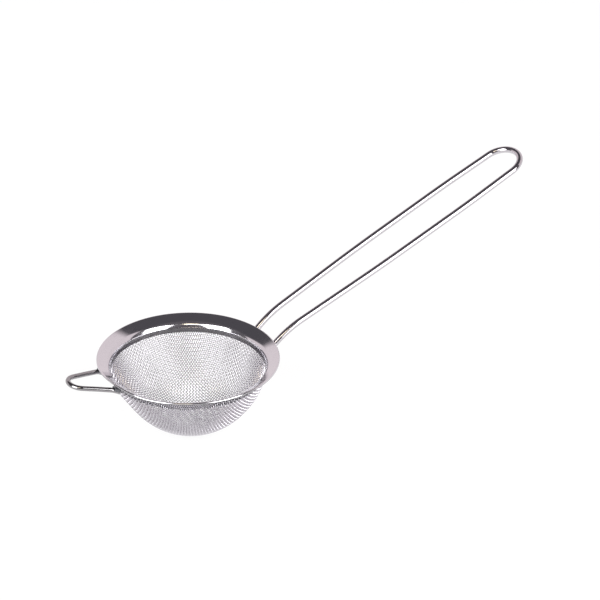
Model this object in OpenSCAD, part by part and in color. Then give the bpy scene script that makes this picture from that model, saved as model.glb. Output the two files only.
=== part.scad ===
// Tea strainer: a pressed rim with a woven wire bowl clamped in its hem, a hairpin wire handle
// and a short wire loop opposite it that rests on the far side of the cup.
// Millimetres. The origin is the centre of the rim, level with its top. +Z is up, the handle points to +X.

/* [Rim] */
// Outer radius of the rim
rim_r = 40; // [39:0.5:42]
// Radius of the open mouth inside the collar
mouth_r = 33.6; // [32:0.1:34]
// Slope of the flange from level, in degrees
flange_slope = 29; // [24:1:34]
// Thickness of the rim's sheet
sheet_t = 0.4; // [0.3:0.05:0.5]
// Radius of the bend between flange and collar, on its upper face
crease_r = 3.6; // [3:0.1:4]
// Depth of the collar's lower edge below the rim's top
collar_depth = 6.5; // [6:0.1:7.5]
// Width of the edge that is folded under as a hem
hem_w = 2.1; // [1.5:0.1:2.6]

/* [Mesh] */
// Thickness of the woven cloth, two wires deep
cloth_t = 0.7; // [0.5:0.05:0.75]
// Thickness of the cloth where the hem presses it flat
pressed_t = 0.3; // [0.15:0.05:0.35]
// Depth of the bowl's lowest point below the rim's top
bowl_depth = 34.9; // [33:0.1:37]
// Angle from upright at which the bowl's side leaves the collar, in degrees
side_lean = 22.5; // [19:0.5:25]
// Radius of the bowl's side, which runs on into a rounder bottom
side_r = 66; // [60:0.5:75]

/* [Wires] */
// Diameter of the handle's wire
handle_wire_d = 2.9; // [2:0.1:3.2]
// Diameter of the rest loop's wire
rest_wire_d = 2.2; // [1.8:0.1:2.9]
// Gap between a wire and the rim's underside, filled by the weld
weld_gap = 0.3; // [0.2:0.05:0.5]
// Radius of a weld bead
weld_r = 1.5; // [1.2:0.1:1.8]
// Length of a weld bead
weld_length = 2.8; // [1.5:0.1:3]

/* [Handle] */
// Distance from the rim's centre to the main bend of the handle
handle_bend_x = 47.3; // [45:0.1:52]
// Height of the main bend above the rim's top
handle_bend_z = 3.6; // [3:0.1:5]
// Rise of the handle beyond its main bend, in degrees
handle_rise = 20.8; // [10:0.2:30]
// Length of the handle beyond its main bend
handle_length = 135.5; // [100:0.5:160]
// Half spacing of the legs under the rim
handle_root_gap = 7.5; // [6.5:0.1:9]
// Half spacing of the legs at the main bend
handle_bend_gap = 7.9; // [7:0.1:9]
// Half spacing of the legs where the handle is widest
handle_wide_gap = 10; // [9.6:0.1:11]
// Half spacing at which the legs run into the round nose of the handle
handle_nose_gap = 9; // [7:0.1:9.4]
// Radius of the main bend
handle_bend_r = 45; // [20:1:60]

/* [Rest loop] */
// Distance from the rim's centre to the loop's far end
rest_reach = 55.8; // [53:0.1:62]
// Height of the loop's far end above the rim's top
rest_end_z = 0.3; // [-0.5:0.1:1.5]
// Half spacing of the loop's legs under the rim
rest_root_gap = 8.8; // [8:0.1:10]
// Half spacing at which the legs run into the loop's round nose
rest_nose_gap = 4.4; // [4:0.1:6]
// Turn of the loop from straight opposite the handle, in degrees
rest_turn = 8.5; // [-9:0.5:9]

/* [Hidden] */
$fn = 96;
arc_step = 7.5;
// Directions along the flange, outwards, and square to its upper face
slope_dir = [cos(flange_slope), sin(flange_slope)];
slope_up = [-sin(flange_slope), cos(flange_slope)];
up_angle = 90 + flange_slope;
// The hem is the sheet folded round the pressed edge of the cloth, about the bead's centre.
hem_t = 2 * sheet_t + pressed_t;
bead_r = hem_t / 2;
bead_c = [rim_r - bead_r, -bead_r];
// The crease's centre lies below the flange's upper face and outside the collar.
crease_x = mouth_r + crease_r;
crease_run = (bead_c.x - crease_x) / cos(flange_slope) - (bead_r - crease_r) * tan(flange_slope);
crease_c = bead_c + (bead_r - crease_r) * slope_up - crease_run * slope_dir;
// The cloth lies on the outside of the collar and on the underside of the flange.
neck_r = mouth_r + sheet_t + cloth_t;
rim_t = sheet_t + cloth_t;
// The cloth's inner face leans in from the collar's lower edge.
lower_edge = [neck_r - cloth_t, -collar_depth];
side_c = lower_edge + (side_r - cloth_t) * [-cos(side_lean), sin(side_lean)];
// The bottom's centre is on the axis, and its arc runs straight on from the side's.
side_top = bowl_depth + side_c.y;
bottom_r = (side_r * side_r - side_c.x * side_c.x - side_top * side_top) / (2 * (side_r - side_top));
bottom_c = [0, bottom_r - bowl_depth];
bottom_angle = atan2(bottom_c.y - side_c.y, -side_c.x);

handle_wire_r = handle_wire_d / 2;
rest_wire_r = rest_wire_d / 2;
wire_sides = 20;
// Sides of the round shape that trims the small welds
trim_sides = 720;
// A leg runs straight and parallel to the flange between these distances, then bends away.
root_from_x = 35.8;
root_to_x = 38.8;
root_bend_r = 6;
// Two corners that bow the handle's legs: [share of the length, share of the widening]
handle_bows = [[0.37, 0.9], [0.74, 1]];
handle_bow_rs = [800, 500];
rest_bend_x = 45.4;
rest_bend_z = -1.4;
rest_bend_r = 25;

function unit(v) = v / norm(v);
function reversed(list) = [for (i = [len(list) - 1:-1:0]) list[i]];

// Points on an arc about c from angle a0 to a1
function arc(c, r, a0, a1) = let (n = ceil(abs(a1 - a0) / arc_step))
    [for (i = [0:n]) c + r * [cos(a0 + (a1 - a0) * i / n), sin(a0 + (a1 - a0) * i / n)]];

// The rim's outline: its upper face from the collar out and round the bead, then back along the inside
rim_face = concat(
    [[mouth_r, -collar_depth]],
    arc(crease_c, crease_r, 180, up_angle),
    arc(bead_c, bead_r, up_angle, up_angle - 180),
    [bead_c - bead_r * slope_up - hem_w * slope_dir]);
rim_back = concat(
    [bead_c - pressed_t / 2 * slope_up - hem_w * slope_dir],
    arc(bead_c, pressed_t / 2, up_angle - 180, up_angle),
    arc(crease_c, crease_r - sheet_t, up_angle, 180),
    [[mouth_r + sheet_t, -collar_depth]]);

// The cloth's outline: its inner face from the hem to the bowl's lowest point, then back along the outside
cloth_face = concat(
    [bead_c + pressed_t / 2 * slope_up],
    arc(crease_c, crease_r - sheet_t, up_angle, 180),
    arc(side_c, side_r - cloth_t, -side_lean, bottom_angle),
    arc(bottom_c, bottom_r - cloth_t, bottom_angle, -90));
cloth_back = concat(
    arc(bottom_c, bottom_r, -90, bottom_angle),
    arc(side_c, side_r, bottom_angle, -side_lean),
    arc(crease_c, crease_r - rim_t, 180, up_angle),
    [bead_c + (bead_r - rim_t) * slope_up - hem_w * slope_dir],
    [bead_c - pressed_t / 2 * slope_up - hem_w * slope_dir],
    [bead_c - pressed_t / 2 * slope_up]);

module rim_flange() {
    color("silver") rotate_extrude() polygon(concat(rim_face, rim_back));
}

module mesh_bowl() {
    color("gainsboro") rotate_extrude() polygon(concat(cloth_face, cloth_back));
}

function turn_angle(a, b, c) = acos(unit(b - a) * unit(c - b));

// Points along a wire's bend at corner b, between straights from a and to c
function bend(a, b, c, r) = let (
        d_in = unit(b - a),
        d_out = unit(c - b),
        t = turn_angle(a, b, c),
        start = b - r * tan(t / 2) * d_in,
        inward = unit(d_out - (d_in * d_out) * d_in),
        n = ceil(t / arc_step) + 1)
    [for (i = [0:n]) start + r * (sin(t * i / n) * d_in + (1 - cos(t * i / n)) * inward)];

// A line without the points where one bend runs straight on from another
function thinned(line) = [for (i = [0:len(line) - 1])
    if (i == 0 || norm(line[i] - line[i - 1]) > 0.01) line[i]];

// The middle line of a wire through the corners, bent at each inner corner to the radius in rs
function wire_line(corners, rs) = thinned(concat(
    [corners[0]],
    [for (i = [1:len(corners) - 2]) each bend(corners[i - 1], corners[i], corners[i + 1], rs[i])],
    [corners[len(corners) - 1]]));

// Direction of the line at point i: the mean of the straights on its two sides
function heading(line, i) = let (last = len(line) - 1)
    unit((i > 0 ? unit(line[i] - line[i - 1]) : [0, 0, 0])
        + (i < last ? unit(line[i + 1] - line[i]) : [0, 0, 0]));

// A ring of points at radius r round the line at point i
function ring(line, i, r) = let (
        d = heading(line, i),
        side = unit(cross([0, 0, 1], d)),
        top = cross(d, side))
    [for (k = [0:wire_sides - 1]) line[i]
        + r * (cos(360 * k / wire_sides) * side + sin(360 * k / wire_sides) * top)];

// A round wire of radius r along a line of points that never stands upright
module wire(line, r) {
    n = wire_sides;
    last = len(line) - 1;
    points = [for (i = [0:last]) each ring(line, i, r)];
    walls = [for (i = [0:last - 1], k = [0:n - 1])
        [i * n + k, (i + 1) * n + k, (i + 1) * n + (k + 1) % n, i * n + (k + 1) % n]];
    caps = [[for (k = [0:n - 1]) k], [for (k = [n - 1:-1:0]) last * n + k]];
    polyhedron(points, concat(walls, caps));
}

// Height of the flange's upper face at radius r
function flange_z(r) = let (edge = bead_c + bead_r * slope_up) edge.y - (edge.x - r) * tan(flange_slope);
// The centre of a wire of radius r under the flange, at distance x along a leg with half spacing y
function root_point(x, y, r) = let (drop = (rim_t + weld_gap + r) / cos(flange_slope))
    [x, y, flange_z(norm([x, y])) - drop];
// The straight end of a leg
function root(y, r) = [root_point(root_from_x, y, r), root_point(root_to_x, y, r)];
// Radius of the bend that takes the last straight of a leg round to the loop's middle line
function nose_r(leg) = let (n = len(leg) - 1, tip = leg[n])
    tip.y / tan(turn_angle(leg[n - 1], tip, [tip.x, 0, tip.z]) / 2);
// The corners and radii of a whole loop, from those of its left leg
function whole_loop(leg) = concat(leg, [for (p = reversed(leg)) [p.x, -p.y, p.z]]);
function whole_radii(leg, rs) = let (all = concat([0], rs, [nose_r(leg)])) concat(all, reversed(all));

// The corners of the handle's left leg, from its end under the rim to the nose
function handle_point(share, y) = [
    handle_bend_x + share * handle_length * cos(handle_rise),
    y,
    handle_bend_z + share * handle_length * sin(handle_rise)];
handle_leg = concat(
    root(handle_root_gap, handle_wire_r),
    [handle_point(0, handle_bend_gap)],
    [for (b = handle_bows)
        handle_point(b[0], handle_bend_gap + b[1] * (handle_wide_gap - handle_bend_gap))],
    [handle_point(1, handle_nose_gap)]);

// The corners of the rest loop's left leg, drawn towards +X
rest_narrowing = (rest_root_gap - rest_nose_gap) / (rest_reach - root_to_x);
rest_leg = [
    each root(rest_root_gap, rest_wire_r),
    [rest_bend_x, rest_root_gap - rest_narrowing * (rest_bend_x - root_to_x), rest_bend_z],
    [rest_reach, rest_nose_gap, rest_end_z]];

// Turns a piece drawn towards +X to the side opposite the handle
module at_rest_side() {
    rotate([0, 0, 180 - rest_turn]) children();
}

module handle_wire() {
    rs = concat([root_bend_r, handle_bend_r], handle_bow_rs);
    line = wire_line(whole_loop(handle_leg), whole_radii(handle_leg, rs));
    color("lightgray") wire(line, handle_wire_r);
}

module rest_loop() {
    rs = [root_bend_r, rest_bend_r];
    line = wire_line(whole_loop(rest_leg), whole_radii(rest_leg, rs));
    color("lightgray") at_rest_side() wire(line, rest_wire_r);
}

// The space above the underside of the cloth and the hem
module above_underside() {
    under = concat(arc(crease_c, crease_r - rim_t, 180, up_angle), [bead_c + (bead_r - rim_t) * slope_up]);
    edge = under[len(under) - 1];
    above = [[rim_r, edge.y], [rim_r, rim_r], [neck_r, rim_r]];
    rotate_extrude($fn = trim_sides) polygon(concat(under, above));
}

// A cylinder from p along d
module rod(p, d, r, h) {
    z = unit(d);
    y = unit(cross(z, [0, 1, 0]));
    x = cross(y, z);
    multmatrix([[x.x, y.x, z.x, p.x], [x.y, y.y, z.y, p.y], [x.z, y.z, z.z, p.z], [0, 0, 0, 1]])
        cylinder(r = r, h = h);
}

// The bead along the straight end of a leg of wire radius r, trimmed to the wire below and the rim above
module weld(leg, r) {
    run = leg[1] - leg[0];
    over = 1;
    difference() {
        rod((leg[0] + leg[1] - weld_length * unit(run)) / 2 + [0, 0, r], run, weld_r, weld_length);
        rod(leg[0] - over * unit(run), run, r, norm(run) + 2 * over);
        above_underside();
    }
}

module handle_weld_left() {
    color("darkgray") weld(handle_leg, handle_wire_r);
}

module handle_weld_right() {
    color("darkgray") mirror([0, 1, 0]) weld(handle_leg, handle_wire_r);
}

module rest_weld_left() {
    color("darkgray") at_rest_side() weld(rest_leg, rest_wire_r);
}

module rest_weld_right() {
    color("darkgray") at_rest_side() mirror([0, 1, 0]) weld(rest_leg, rest_wire_r);
}

rim_flange();
mesh_bowl();
handle_wire();
rest_loop();
handle_weld_left();
handle_weld_right();
rest_weld_left();
rest_weld_right();
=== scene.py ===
"""A tea strainer's looks: a polished rim, a woven wire bowl, and a handle and a rest loop of bent wire."""

import bpy
import numpy as np
from mathutils import Matrix, Vector


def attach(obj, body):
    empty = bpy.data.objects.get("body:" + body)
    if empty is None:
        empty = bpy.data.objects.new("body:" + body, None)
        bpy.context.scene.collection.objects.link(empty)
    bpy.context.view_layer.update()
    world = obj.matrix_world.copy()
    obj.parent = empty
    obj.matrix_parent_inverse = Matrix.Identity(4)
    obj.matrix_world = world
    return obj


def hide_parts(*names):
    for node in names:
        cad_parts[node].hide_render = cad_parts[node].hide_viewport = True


MM = 0.001
SHARP_ANGLE = np.radians(40)

# Rim, in millimetres: the sheet is folded round the pressed edge of the cloth at a bead.
RIM_R = 40.0
MOUTH_R = 33.6
FLANGE_SLOPE = np.radians(29)
SHEET_T = 0.4
PRESSED_T = 0.3
CREASE_R = 3.6
COLLAR_DEPTH = 6.5
HEM_W = 2.1
BEAD_R = SHEET_T + PRESSED_T / 2
RIM_STEPS = 512
# Which steps of the rim's profile have a steel of their own: the collar's face up to the steep part of the
# crease, darkened as painted shade; the rest of the crease; the hem from where the bead turns under, darkened
# as painted shade; and the collar's covered back, nearly black as painted shade in the gap behind the cloth.
RIM_STEELS = {"collar": slice(0, 4), "crease": slice(4, 13), "hem": slice(22, 28), "shaded_covered": slice(-9, None)}
# The flange's edge is bent up a little beside the rest loop.
DENT_AT = np.radians(184)
DENT_WIDTH = np.radians(30)
DENT_RISE = 1.1

# Bowl
CLOTH_T = 0.7
BOWL_DEPTH = 34.9
SIDE_LEAN = np.radians(22.5)
SIDE_R = 66
# The pressed bowl's lower part sits a little off the rim's axis.
OFF_CENTRE = np.array([0.9, -0.6])
OFF_CENTRE_DEPTH = 12
MESH_WIRE_D = 0.34
MESH_PITCH = 1.058
MESH_TURN = np.radians(12)
# How far the cloth shears rather than stretches, from 0 to 1, and how much longer that makes its diagonals.
CLOTH_SHEAR = 0.8
DIAGONAL_STRETCH = 5e-5
STRAND_STEPS = 4
STRAND_SIDES = 6
STRIPS = 3

# Wires. A gap is half the distance between a loop's two legs.
HANDLE_WIRE_R = 1.45
REST_WIRE_R = 1.1
WELD_GAP = 0.3
ROOT_FROM_X = 35.8
ROOT_TO_X = 38.8
ROOT_BEND_R = 6
WIRE_SIDES = 32
WIRE_STEP = 0.5
END_ROUND = 0.2
WELD_NODES = ["handle_weld_left", "handle_weld_right", "rest_weld_left", "rest_weld_right"]

HANDLE_BEND_X = 47.3
HANDLE_BEND_Z = 3.6
HANDLE_RISE = np.radians(20.8)
HANDLE_LENGTH = 135.5
HANDLE_ROOT_GAP = 7.5
HANDLE_BEND_GAP = 7.9
HANDLE_WIDE_GAP = 10
HANDLE_NOSE_GAP = 9
# How far the legs have bowed out towards their widest gap, at these parts of the handle's length
HANDLE_BOWS = [(0.37, 0.9), (0.74, 1)]
HANDLE_RADII = [ROOT_BEND_R, 45, 800, 500]

REST_BEND = (45.4, -1.4)
REST_END = (55.8, 0.3)
REST_ROOT_GAP = 8.8
REST_NOSE_GAP = 4.4
REST_TURN = np.radians(8.5)
REST_RADII = [ROOT_BEND_R, 25]

# Studio: white walls that give way to a dark ceiling and, at the front, to a dim room. WALL_TOP and
# ROOM_EDGE are where that starts and ends, as a part of the way straight up or towards the camera.
WALL_COLOUR = (0.87, 0.79, 0.81)
CEILING_COLOUR = (0.09, 0.085, 0.095)
ROOM_COLOUR = (0.13, 0.12, 0.13)
WALL_TOP = (0.60, 0.67)
CEILING_TILT = 0.22
ROOM_EDGE = (-0.42, -0.2)
# The floor is a light table: it shines by itself, so it stays white under the strainer.
FLOOR_COLOUR = (0.14, 0.14, 0.14)
FLOOR_GLOW = 0.9
FLOOR_ROUGHNESS = 0.9
FLOOR_SIZE = 12
SOFTBOX_POWER = 36
SOFTBOX_SIZE = (1.3, 1.8)
LIGHT_DISTANCE = 2.0
# Degrees to the right of the camera, then up
SOFTBOX_PLACES = {"softbox_left": (-43, 27), "softbox_right": (50, 25)}
LAMP_COLOUR = (1.0, 0.90, 0.68)
LAMP_PLACE = (-5, 48)
LAMP_POWER = 2.8
LAMP_SIZE = (0.6, 0.35)

# Steels: the darkest and lightest colour, the most and least roughness, a grain other than the usual in
# patterns a metre, and shallow waves in the surface, in patterns a metre and millimetres high.
STEELS = {
    "flange": {"dark": (0.70, 0.685, 0.72), "light": (0.74, 0.73, 0.76), "dull": 0.13, "bright": 0.08,
               "wave": 70, "wave_height": 0.05},
    # The collar's face is a dark steel: painted shade.
    "collar": {"dark": (0.20, 0.195, 0.205), "light": (0.26, 0.255, 0.265), "dull": 0.17, "bright": 0.12},
    "crease": {"dark": (0.68, 0.665, 0.70), "light": (0.73, 0.72, 0.75), "dull": 0.15, "bright": 0.11},
    # The hem is a dark steel: painted shade under the bead.
    "hem": {"dark": (0.15, 0.145, 0.15), "light": (0.20, 0.195, 0.20), "dull": 0.3, "bright": 0.2},
    # The covered back is a nearly black steel: painted shade in the gap behind the cloth.
    "shaded_covered": {"dark": (0.03, 0.03, 0.035), "light": (0.06, 0.06, 0.07), "dull": 0.6, "bright": 0.4},
    "handle": {"dark": (0.57, 0.545, 0.575), "light": (0.63, 0.605, 0.635), "dull": 0.13, "bright": 0.08,
               "wave": 120, "wave_height": 0.02},
    # The rest loop is a darker copy of the handle's steel: painted shade.
    "rest": {"dark": (0.32, 0.31, 0.32), "light": (0.38, 0.37, 0.38), "dull": 0.13, "bright": 0.08,
             "wave": 120, "wave_height": 0.02},
    "mesh": {"dark": (0.59, 0.57, 0.61), "light": (0.67, 0.65, 0.69), "dull": 0.3, "bright": 0.2,
             "grain": 4000},
    "weld": {"dark": (0.10, 0.10, 0.11), "light": (0.24, 0.24, 0.26), "dull": 0.5, "bright": 0.3,
             "wave": 900, "wave_height": 0.15},
}
GRAIN = 1500
# How many times as coarse the grain of the roughness is as that of the colour
ROUGHNESS_COARSER = 3
# The part of a noise's range that it mostly stays in, and its detail in the colour, roughness and waves
NOISE_RANGE = (0.3, 0.7)
COLOUR_DETAIL = 4
ROUGHNESS_DETAIL = 3
WAVE_DETAIL = 1

# Camera
CAMERA_AZIMUTH = np.radians(33.19)
CAMERA_ELEVATION = np.radians(29.14)
CAMERA_ROLL = np.radians(0.06)
CAMERA_LENS = 240
CAMERA_SENSOR = 36
CAMERA_FAR = 100
CAMERA_TO_ORIGIN = Vector((-48.7, 24.8, 1741.2)) * MM


def unit(v):
    v = np.asarray(v, float)
    return v / np.linalg.norm(v)


def arc(centre, radius, start, end, steps=12):
    """Points on an arc of a profile, as (radius, height)."""
    angles = np.linspace(start, end, steps + 1)
    return np.column_stack([centre[0] + radius * np.cos(angles), centre[1] + radius * np.sin(angles)])


SLOPE_DIR = np.array([np.cos(FLANGE_SLOPE), np.sin(FLANGE_SLOPE)])
SLOPE_UP = np.array([-np.sin(FLANGE_SLOPE), np.cos(FLANGE_SLOPE)])
UP_ANGLE = np.pi / 2 + FLANGE_SLOPE
BEAD_C = np.array([RIM_R - BEAD_R, -BEAD_R])
CREASE_X = MOUTH_R + CREASE_R
CREASE_RUN = (BEAD_C[0] - CREASE_X) / np.cos(FLANGE_SLOPE) - (BEAD_R - CREASE_R) * np.tan(FLANGE_SLOPE)
CREASE_C = BEAD_C + (BEAD_R - CREASE_R) * SLOPE_UP - CREASE_RUN * SLOPE_DIR


def dent(x, y):
    """How far the flange is bent up at a place."""
    off = np.clip((np.arctan2(y, x) % (2 * np.pi) - DENT_AT) / DENT_WIDTH, -1, 1)
    outward = np.clip((np.hypot(x, y) - MOUTH_R) / (RIM_R - MOUTH_R), 0, 1)
    return DENT_RISE * np.cos(off * np.pi / 2) ** 2 * outward**2


def rim_profile():
    """The rim's outline: up the collar's inner face, over the flange and bead, and back inside the fold."""
    fold = PRESSED_T / 2
    return np.concatenate([
        [[MOUTH_R, -COLLAR_DEPTH]],
        arc(CREASE_C, CREASE_R, np.pi, UP_ANGLE),
        arc(BEAD_C, BEAD_R, UP_ANGLE, UP_ANGLE - np.pi),
        [BEAD_C - BEAD_R * SLOPE_UP - HEM_W * SLOPE_DIR],
        [BEAD_C - fold * SLOPE_UP - HEM_W * SLOPE_DIR],
        arc(BEAD_C, fold, UP_ANGLE - np.pi, UP_ANGLE),
        arc(CREASE_C, CREASE_R - SHEET_T, UP_ANGLE, np.pi),
        [[MOUTH_R + SHEET_T, -COLLAR_DEPTH]],
    ])


def cloth_meridian():
    """The middle line of the cloth from the bowl's lowest point to the hem, as (radius, height) points."""
    lower_edge = np.array([MOUTH_R + SHEET_T, -COLLAR_DEPTH])
    side_c = lower_edge + (SIDE_R - CLOTH_T) * np.array([-np.cos(SIDE_LEAN), np.sin(SIDE_LEAN)])
    side_top = BOWL_DEPTH + side_c[1]
    bottom_r = (SIDE_R**2 - side_c[0] ** 2 - side_top**2) / (2 * (SIDE_R - side_top))
    bottom_c = (0, bottom_r - BOWL_DEPTH)
    meeting = np.arctan2(bottom_c[1] - side_c[1], -side_c[0])
    middle = CLOTH_T / 2
    crease_r = CREASE_R - SHEET_T - middle
    return np.concatenate([
        arc(bottom_c, bottom_r - middle, -np.pi / 2, meeting, steps=200),
        arc(side_c, SIDE_R - middle, meeting, -SIDE_LEAN, steps=200)[1:],
        arc(CREASE_C, crease_r, np.pi, UP_ANGLE, steps=24),
        [BEAD_C + (BEAD_R - SHEET_T - middle) * SLOPE_UP - HEM_W * SLOPE_DIR],
    ])


class Cloth:
    """The woven cloth drawn over the bowl. Points on it are named by their place (u, v) in the flat cloth."""

    def __init__(self):
        line = cloth_meridian()
        steps = np.diff(line, axis=0)
        lengths = np.linalg.norm(steps, axis=1)
        self.line = line
        self.along = np.concatenate([[0], np.cumsum(lengths)])
        self.edge = self.along[-1]
        slopes = np.unwrap(np.arctan2(steps[:, 1], steps[:, 0]))
        self.slopes = np.interp(self.along, (self.along[1:] + self.along[:-1]) / 2, slopes)

    def reach(self, uv):
        """Distance along the bowl from its lowest point. The cloth stretches along its diagonals."""
        flat = np.linalg.norm(uv, axis=-1)
        diagonal = np.sin(2 * np.arctan2(uv[..., 1], uv[..., 0])) ** 2
        return flat * (1 + CLOTH_SHEAR * DIAGONAL_STRETCH * flat**2 * diagonal)

    def place(self, uv, lift):
        """The point over (u, v) at a height above the cloth's middle, on the side of the tea."""
        flat = np.maximum(np.linalg.norm(uv, axis=-1), 1e-6)
        angle = np.arctan2(uv[..., 1], uv[..., 0])
        reach = self.reach(uv)
        radius = np.interp(reach, self.along, self.line[:, 0])
        gathered = CLOTH_SHEAR * (flat / np.maximum(radius, 1e-6) - 1) / 4
        turn = MESH_TURN + angle + gathered * np.sin(4 * angle)
        slope = np.interp(reach, self.along, self.slopes)
        radius = radius - lift * np.sin(slope)
        height = np.interp(reach, self.along, self.line[:, 1]) + lift * np.cos(slope)
        height = height + dent(radius * np.cos(turn), radius * np.sin(turn))
        below = np.clip((-COLLAR_DEPTH - height) / OFF_CENTRE_DEPTH, 0, 1)
        eased = below * below * (3 - 2 * below)
        shift = eased[..., None] * OFF_CENTRE
        flat_place = np.stack([radius * np.cos(turn), radius * np.sin(turn)], axis=-1) + shift
        return np.concatenate([flat_place, height[..., None]], axis=-1)


def mesh_object(name, points, faces, material):
    """A smooth mesh piece from points in millimetres."""
    data = bpy.data.meshes.new(name)
    data.from_pydata((np.asarray(points) * MM).tolist(), [], faces)
    data.materials.append(material)
    data.polygons.foreach_set("use_smooth", [True] * len(data.polygons))
    data.set_sharp_from_angle(angle=SHARP_ANGLE)
    piece = bpy.data.objects.new(name, data)
    bpy.context.scene.collection.objects.link(piece)
    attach(piece, "root")
    return piece


def grid_faces(rows, columns, close_rows=False):
    """Quads between neighbouring rows of points, each row a closed ring."""
    i, k = np.meshgrid(np.arange(rows if close_rows else rows - 1), np.arange(columns), indexing="ij")
    j, m = (i + 1) % rows, (k + 1) % columns
    corners = [i * columns + k, i * columns + m, j * columns + m, j * columns + k]
    return np.stack([c.ravel() for c in corners], axis=1).tolist()


def make_rim(steels):
    """The rim, of the flange's steel where RIM_STEELS names no other."""
    profile = rim_profile()
    angles = np.linspace(0, 2 * np.pi, RIM_STEPS, endpoint=False)[:, None]
    x, y = np.cos(angles) * profile[:, 0], np.sin(angles) * profile[:, 0]
    points = np.stack([x, y, profile[:, 1] + dent(x, y)], axis=-1).reshape(-1, 3)
    faces = grid_faces(RIM_STEPS, len(profile), close_rows=True)
    rim = mesh_object("rim", points, faces, steels["flange"])
    slots = np.zeros(len(profile), int)
    for index, (name, steps) in enumerate(RIM_STEELS.items(), 1):
        rim.data.materials.append(steels[name])
        slots[steps] = index
    rim.data.polygons.foreach_set("material_index", np.tile(slots, RIM_STEPS))
    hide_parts("rim_flange")


def rings(line, tops, radius, sides):
    """Rings of points round a line. tops are directions roughly square to it."""
    heading = np.gradient(line, axis=0)
    heading /= np.linalg.norm(heading, axis=1, keepdims=True)
    across = np.cross(tops, heading)
    across /= np.linalg.norm(across, axis=1, keepdims=True)
    up = np.cross(heading, across)
    angles = np.linspace(0, 2 * np.pi, sides, endpoint=False)[None, :, None]
    return line[:, None] + radius * (np.cos(angles) * across[:, None] + np.sin(angles) * up[:, None])


def mesh_strand(cloth, index, runs_along_u):
    """One wire of the cloth: its rings, waving over and under the wires it crosses."""
    half_count = int(cloth.edge / MESH_PITCH) + 1
    t = np.linspace(-half_count, half_count, 2 * half_count * STRAND_STEPS + 1) * MESH_PITCH
    fixed = np.full_like(t, index * MESH_PITCH)
    uv = np.stack([t, fixed] if runs_along_u else [fixed, t], axis=-1)
    inside = cloth.reach(uv) < cloth.edge
    if inside.sum() < 2:
        return None
    t, uv = t[inside], uv[inside]
    first_up = 1 if (index % 2 == 0) == runs_along_u else -1
    wave = first_up * np.cos(np.pi * t / MESH_PITCH) * MESH_WIRE_D / 2
    line = cloth.place(uv, wave)
    tops = cloth.place(uv, wave + 1) - line
    return rings(line, tops, MESH_WIRE_D / 2, STRAND_SIDES)


def make_mesh(material):
    """The woven cloth, as strips of neighbouring wires in each direction."""
    cloth = Cloth()
    last = int(cloth.edge / MESH_PITCH)
    strips = np.array_split(np.arange(-last, last + 1), STRIPS)
    for runs_along_u, family in ((True, "warp"), (False, "weft")):
        for number, strip in enumerate(strips, 1):
            points, faces, count = [], [], 0
            for index in strip:
                strand = mesh_strand(cloth, index, runs_along_u)
                if strand is None:
                    continue
                points.append(strand.reshape(-1, 3))
                faces.append(np.array(grid_faces(len(strand), STRAND_SIDES)) + count)
                count += len(points[-1])
            name = f"mesh_{family}_{number}"
            faces = np.concatenate(faces).tolist()
            piece = mesh_object(name, np.concatenate(points), faces, material)
            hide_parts("mesh_bowl")


def bend(before, corner, after, radius, steps=24):
    """Points along a wire's bend at a corner between two straights."""
    d_in, d_out = unit(corner - before), unit(after - corner)
    turn = np.arccos(np.clip(d_in @ d_out, -1, 1))
    inward = unit(d_out - (d_in @ d_out) * d_in)
    start = corner - radius * np.tan(turn / 2) * d_in
    angles = np.linspace(0, turn, steps + 1)[:, None]
    return start + radius * (np.sin(angles) * d_in + (1 - np.cos(angles)) * inward)


def wire_line(corners, radii):
    """The middle line of a wire through its corners, as evenly spaced points."""
    parts = [corners[:1]]
    for i, radius in enumerate(radii, 1):
        parts.append(bend(corners[i - 1], corners[i], corners[i + 1], radius))
    line = np.concatenate(parts + [corners[-1:]])
    lengths = np.linalg.norm(np.diff(line, axis=0), axis=1)
    line = line[np.concatenate([[True], lengths > 1e-6])]
    along = np.concatenate([[0], np.cumsum(lengths[lengths > 1e-6])])
    even = np.linspace(0, along[-1], int(along[-1] / WIRE_STEP) + 1)
    return np.column_stack([np.interp(even, along, line[:, axis]) for axis in range(3)])


def flange_height(radius):
    """Height of the flange's upper face."""
    edge = BEAD_C + BEAD_R * SLOPE_UP
    return edge[1] - (edge[0] - radius) * np.tan(FLANGE_SLOPE)


def root(y, wire_r):
    """The straight end of a leg under the flange, for a wire of that radius and half spacing y."""
    drop = (SHEET_T + CLOTH_T + WELD_GAP + wire_r) / np.cos(FLANGE_SLOPE)
    return [(x, y, flange_height(np.hypot(x, y)) - drop) for x in (ROOT_FROM_X, ROOT_TO_X)]


def loop_line(leg, radii):
    """The middle line of a loop with two mirrored legs, from the corners of its left leg."""
    leg = np.array(leg, float)
    before, tip = leg[-2], leg[-1]
    nose_turn = np.arccos(unit(tip - before) @ np.array([0, -1, 0]))
    nose_r = tip[1] / np.tan(nose_turn / 2)
    corners = np.concatenate([leg, leg[::-1] * [1, -1, 1]])
    inner = radii + [nose_r]
    return wire_line(corners, inner + inner[::-1])


def handle_point(share, y):
    reach = share * HANDLE_LENGTH
    return HANDLE_BEND_X + reach * np.cos(HANDLE_RISE), y, HANDLE_BEND_Z + reach * np.sin(HANDLE_RISE)


def handle_line():
    widening = HANDLE_WIDE_GAP - HANDLE_BEND_GAP
    return loop_line([
        *root(HANDLE_ROOT_GAP, HANDLE_WIRE_R),
        handle_point(0, HANDLE_BEND_GAP),
        *[handle_point(share, HANDLE_BEND_GAP + part * widening) for share, part in HANDLE_BOWS],
        handle_point(1, HANDLE_NOSE_GAP),
    ], HANDLE_RADII)


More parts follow.
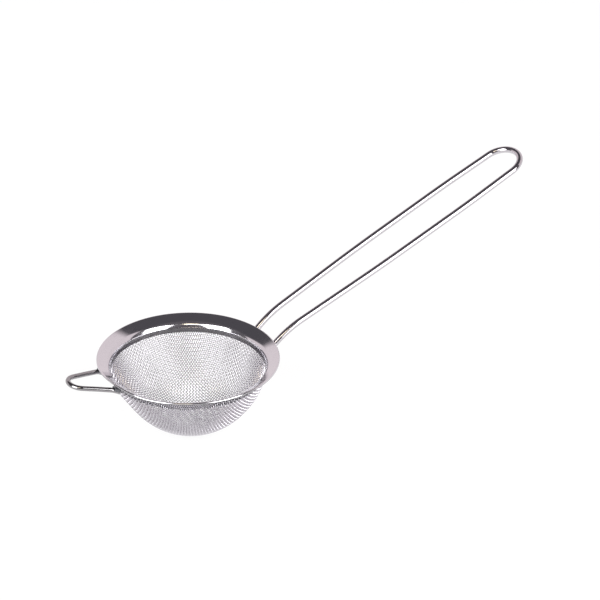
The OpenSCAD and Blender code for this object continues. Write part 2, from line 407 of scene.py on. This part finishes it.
def rest_line():
    narrowing = (REST_ROOT_GAP - REST_NOSE_GAP) / (REST_END[0] - ROOT_TO_X)
    bend_gap = REST_ROOT_GAP - narrowing * (REST_BEND[0] - ROOT_TO_X)
    line = loop_line([
        *root(REST_ROOT_GAP, REST_WIRE_R),
        (REST_BEND[0], bend_gap, REST_BEND[1]),
        (REST_END[0], REST_NOSE_GAP, REST_END[1]),
    ], REST_RADII)
    turn = np.pi - REST_TURN
    sin, cos = np.sin(turn), np.cos(turn)
    return line @ np.array([[cos, sin, 0], [-sin, cos, 0], [0, 0, 1]])


def make_wire(name, node, line, radius, material):
    """A round wire with slightly rounded cut ends."""
    points = rings(line, np.tile([0, 0, 1], (len(line), 1)), radius, WIRE_SIDES)
    inner = radius - END_ROUND
    ends = []
    for end, next_in in ((0, 1), (-1, -2)):
        outward = unit(line[end] - line[next_in])
        ends.append(line[end] + (points[end] - line[end]) * inner / radius + outward * END_ROUND)
    points = np.concatenate([ends[:1], points, ends[1:]])
    faces = grid_faces(len(points), WIRE_SIDES)
    first = list(range(WIRE_SIDES))
    faces += [first[::-1], [(len(points) - 1) * WIRE_SIDES + k for k in first]]
    wire = mesh_object(name, points.reshape(-1, 3), faces, material)
    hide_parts(node)


def make_camera():
    sin_az, cos_az = np.sin(CAMERA_AZIMUTH), np.cos(CAMERA_AZIMUTH)
    sin_el, cos_el = np.sin(CAMERA_ELEVATION), np.cos(CAMERA_ELEVATION)
    right = Vector((cos_az, -sin_az, 0))
    forward = Vector((sin_az * cos_el, cos_az * cos_el, -sin_el))
    down = forward.cross(right)
    axes = Matrix((right, down, forward))
    axes = Matrix.Rotation(CAMERA_ROLL, 3, "Z") @ axes
    place = -(axes.transposed() @ CAMERA_TO_ORIGIN)
    camera = bpy.data.objects.new("camera", bpy.data.cameras.new("camera"))
    camera.data.lens = CAMERA_LENS
    camera.data.sensor_width = CAMERA_SENSOR
    camera.data.clip_end = CAMERA_FAR
    turned = Matrix((axes[0], -axes[1], -axes[2])).transposed()
    camera.matrix_world = Matrix.Translation(place) @ turned.to_4x4()
    bpy.context.scene.collection.objects.link(camera)
    bpy.context.scene.camera = camera


def make_light(name, power, size, front, place, colour=(1, 1, 1)):
    """A soft light of that width and height, aimed at the rim's middle. front is the camera's azimuth."""
    azimuth, elevation = front + np.radians(place[0]), np.radians(place[1])
    direction = Vector((
        np.cos(elevation) * np.cos(azimuth),
        np.cos(elevation) * np.sin(azimuth),
        np.sin(elevation),
    ))
    data = bpy.data.lights.new(name, "AREA")
    data.energy = power
    data.shape = "RECTANGLE"
    data.size, data.size_y = size
    data.color = colour
    light = bpy.data.objects.new(name, data)
    light.location = direction * LIGHT_DISTANCE
    light.rotation_euler = direction.to_track_quat("Z", "Y").to_euler()
    bpy.context.scene.collection.objects.link(light)


def ramp(nodes, links, factor, low, high):
    """A colour ramp between two (position, colour) stops."""
    node = nodes.new("ShaderNodeValToRGB")
    links.new(factor, node.inputs["Fac"])
    for stop, (position, colour) in zip(node.color_ramp.elements, (low, high)):
        stop.position, stop.color = position, (*colour, 1)
    return node.outputs["Color"]


def make_world(right, front):
    """White walls, a dark ceiling and a dim room at the front, told apart by direction."""
    world = bpy.data.worlds.new("studio")
    bpy.context.scene.world = world
    world.use_nodes = True
    nodes, links = world.node_tree.nodes, world.node_tree.links
    direction = nodes.new("ShaderNodeTexCoord").outputs["Generated"]

    def part_along(way):
        dot = nodes.new("ShaderNodeVectorMath")
        dot.operation = "DOT_PRODUCT"
        dot.inputs[1].default_value = way
        links.new(direction, dot.inputs[0])
        return dot.outputs["Value"]

    height = part_along(Vector((0, 0, 1)) - CEILING_TILT * right)
    wall = ramp(nodes, links, height, (WALL_TOP[0], WALL_COLOUR), (WALL_TOP[1], CEILING_COLOUR))
    near = ramp(nodes, links, part_along(front), (ROOM_EDGE[0], (0, 0, 0)), (ROOM_EDGE[1], (1, 1, 1)))
    both = nodes.new("ShaderNodeMixRGB")
    links.new(near, both.inputs["Fac"])
    links.new(wall, both.inputs["Color1"])
    both.inputs["Color2"].default_value = (*ROOM_COLOUR, 1)
    links.new(both.outputs["Color"], nodes["Background"].inputs["Color"])


def make_studio():
    """A white floor in a white-walled studio, with two soft boxes and a small warm lamp at the front."""
    bpy.ops.mesh.primitive_plane_add(size=FLOOR_SIZE, location=(0, 0, -BOWL_DEPTH * MM))
    floor = bpy.context.object
    floor.name = "floor"
    paint = bpy.data.materials.new("floor_paint")
    paint.use_nodes = True
    shader = paint.node_tree.nodes["Principled BSDF"]
    shader.inputs["Base Color"].default_value = (*FLOOR_COLOUR, 1)
    shader.inputs["Roughness"].default_value = FLOOR_ROUGHNESS
    shader.inputs["Specular IOR Level"].default_value = 0
    shader.inputs["Emission Color"].default_value = (1, 1, 1, 1)
    shader.inputs["Emission Strength"].default_value = FLOOR_GLOW
    floor.data.materials.append(paint)

    front = -np.pi / 2 - CAMERA_AZIMUTH
    for name, place in SOFTBOX_PLACES.items():
        make_light(name, SOFTBOX_POWER, SOFTBOX_SIZE, front, place)
    make_light("lamp", LAMP_POWER, LAMP_SIZE, front, LAMP_PLACE, LAMP_COLOUR)
    make_world(Vector((-np.sin(front), np.cos(front), 0)), Vector((np.cos(front), np.sin(front), 0)))
    bpy.context.scene.view_settings.view_transform = "Standard"


def grained(nodes, links, place, scale, detail, low, high):
    """A colour that varies between two with a noise of that scale, in patterns a metre."""
    noise = nodes.new("ShaderNodeTexNoise")
    noise.inputs["Scale"].default_value = scale
    noise.inputs["Detail"].default_value = detail
    links.new(place, noise.inputs["Vector"])
    return ramp(nodes, links, noise.outputs["Fac"], (NOISE_RANGE[0], low), (NOISE_RANGE[1], high))


def steel(name, dark, light, dull, bright, grain=GRAIN, wave=0, wave_height=0):
    """Steel whose colour and roughness vary with a fine grain, on a surface that may have shallow waves."""
    material = bpy.data.materials.new(f"{name}_steel")
    material.use_nodes = True
    nodes, links = material.node_tree.nodes, material.node_tree.links
    shader = nodes["Principled BSDF"]
    shader.inputs["Metallic"].default_value = 1
    place = nodes.new("ShaderNodeTexCoord").outputs["Object"]
    links.new(grained(nodes, links, place, grain, COLOUR_DETAIL, dark, light), shader.inputs["Base Color"])
    coarse = grain / ROUGHNESS_COARSER
    rough = grained(nodes, links, place, coarse, ROUGHNESS_DETAIL, (bright,) * 3, (dull,) * 3)
    links.new(rough, shader.inputs["Roughness"])
    if not wave_height:
        return material
    waves = nodes.new("ShaderNodeTexNoise")
    waves.inputs["Scale"].default_value = wave
    waves.inputs["Detail"].default_value = WAVE_DETAIL
    links.new(place, waves.inputs["Vector"])
    bump = nodes.new("ShaderNodeBump")
    bump.inputs["Strength"].default_value = 1
    bump.inputs["Distance"].default_value = wave_height * MM
    links.new(waves.outputs["Fac"], bump.inputs["Height"])
    links.new(bump.outputs["Normal"], shader.inputs["Normal"])
    return material


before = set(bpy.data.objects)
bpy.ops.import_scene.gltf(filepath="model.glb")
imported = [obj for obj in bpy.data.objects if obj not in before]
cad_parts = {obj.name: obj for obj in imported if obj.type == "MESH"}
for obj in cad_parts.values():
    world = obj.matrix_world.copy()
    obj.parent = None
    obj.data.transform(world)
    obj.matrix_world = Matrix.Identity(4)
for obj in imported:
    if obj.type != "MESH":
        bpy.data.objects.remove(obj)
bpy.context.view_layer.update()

steels = {name: steel(name, **look) for name, look in STEELS.items()}
make_rim(steels)
make_mesh(steels["mesh"])
make_wire("handle", "handle_wire", handle_line(), HANDLE_WIRE_R, steels["handle"])
make_wire("rest", "rest_loop", rest_line(), REST_WIRE_R, steels["rest"])
for node in WELD_NODES:
    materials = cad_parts[node].data.materials
    materials.clear()
    materials.append(steels["weld"])
make_camera()
make_studio()
